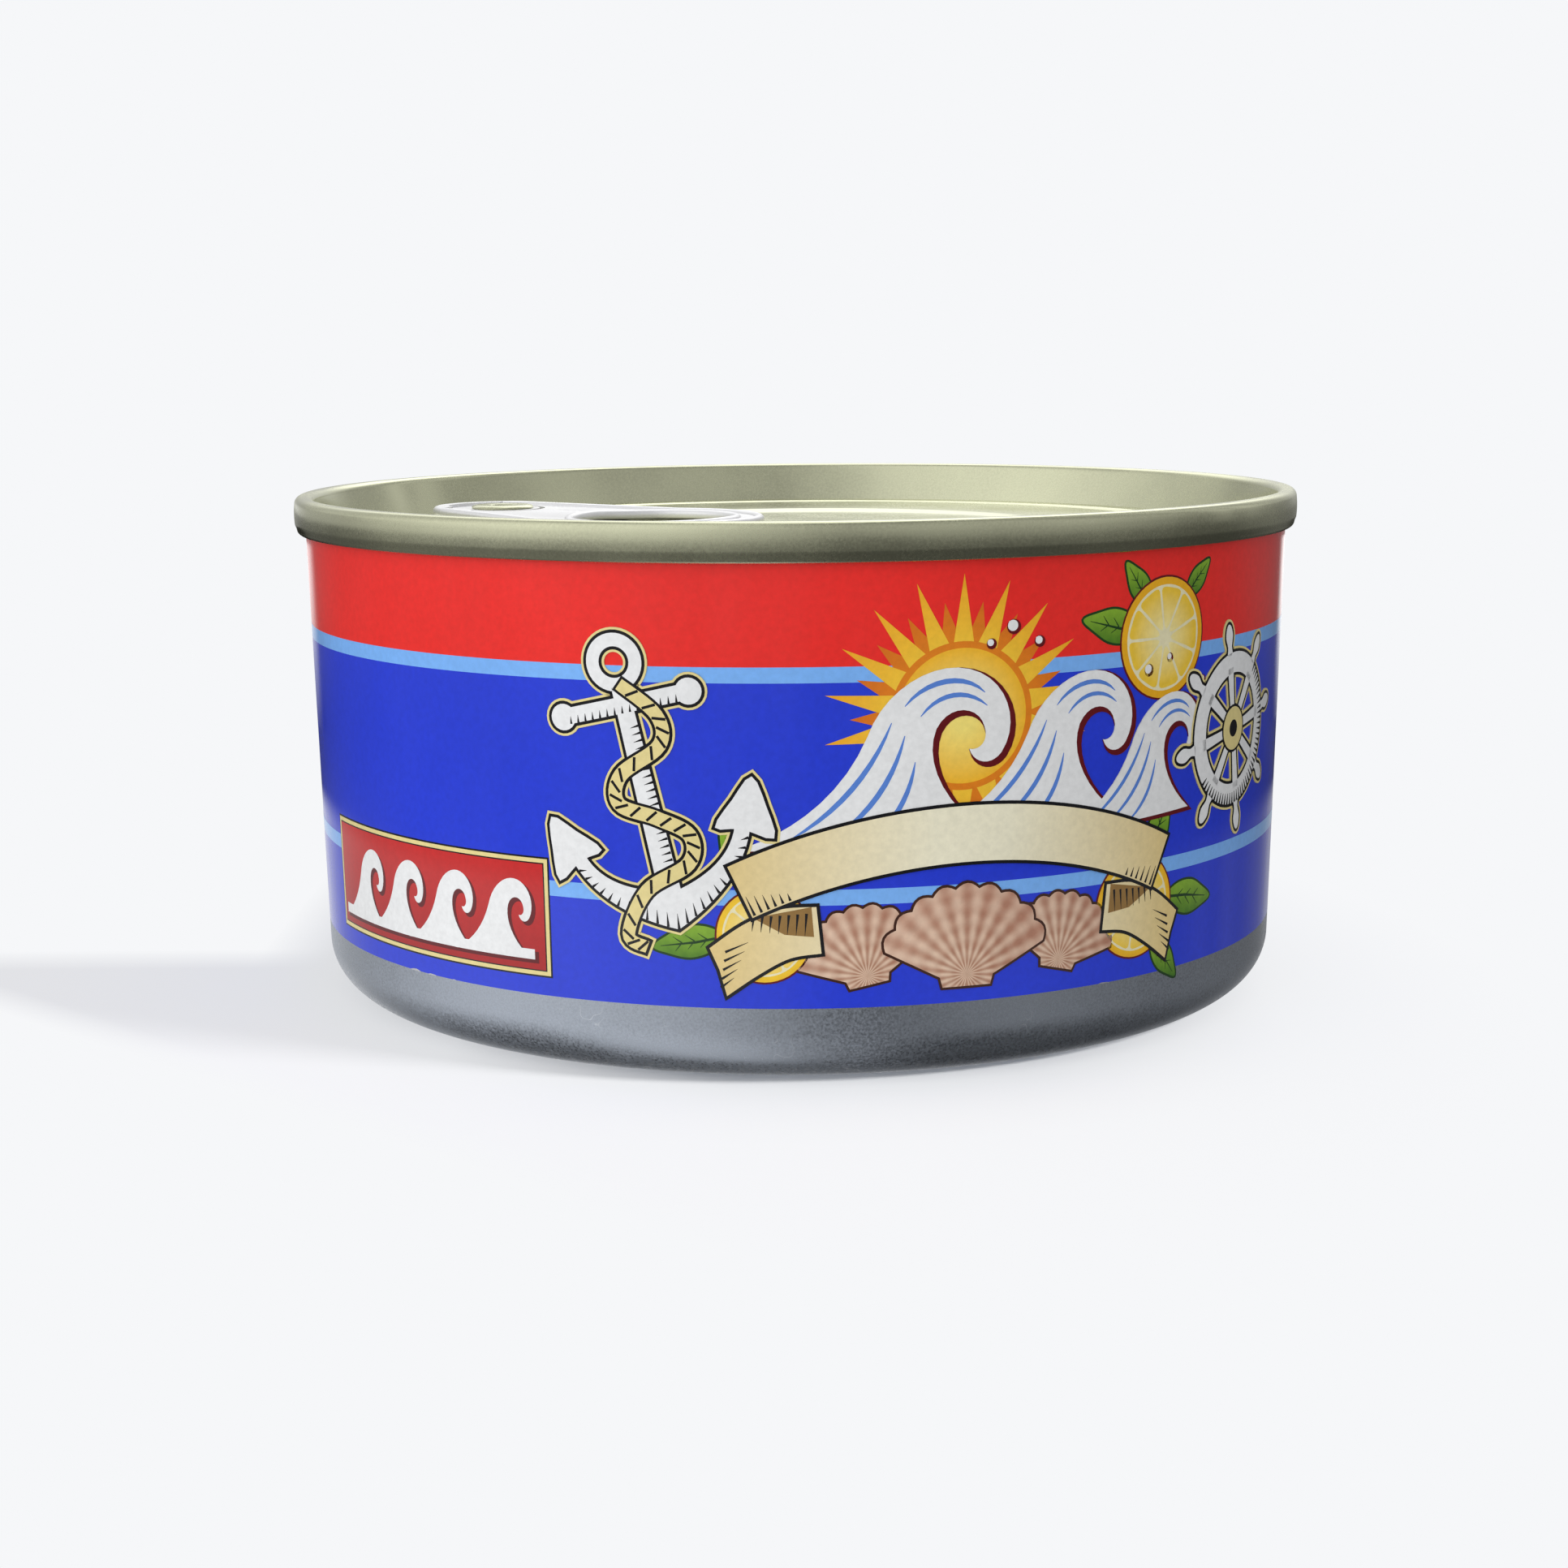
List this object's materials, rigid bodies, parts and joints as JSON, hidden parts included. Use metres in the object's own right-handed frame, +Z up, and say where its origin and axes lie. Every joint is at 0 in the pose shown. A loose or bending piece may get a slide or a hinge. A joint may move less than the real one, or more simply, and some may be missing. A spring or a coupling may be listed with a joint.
{
  "type": "tuna can",
  "caption": "Shut round fish can: printed drawn steel cup, double-seamed gold-lacquered easy-open lid and riveted ring-pull tab.",
  "frame": {"origin": "centre of the can's foot, on the surface it stands on", "axes": "+Z up along the can's axis; the front of the print faces -Y; +X is to the right of a person who looks at the front"},
  "size_m": [0.0874, 0.0874, 0.0429],
  "materials": {
    "printed_steel": "glossy print in blue, red and light-blue bands, over satin grey steel that is bare at the foot",
    "gold_lacquer": "olive-gold lacquer, semi-gloss",
    "bare_tinplate": "bare bright tinplate"
  },
  "bodies": {
    "root": {"can_body": "printed_steel", "lid": "gold_lacquer", "pull_tab": "bare_tinplate"}
  },
  "joints": []
}
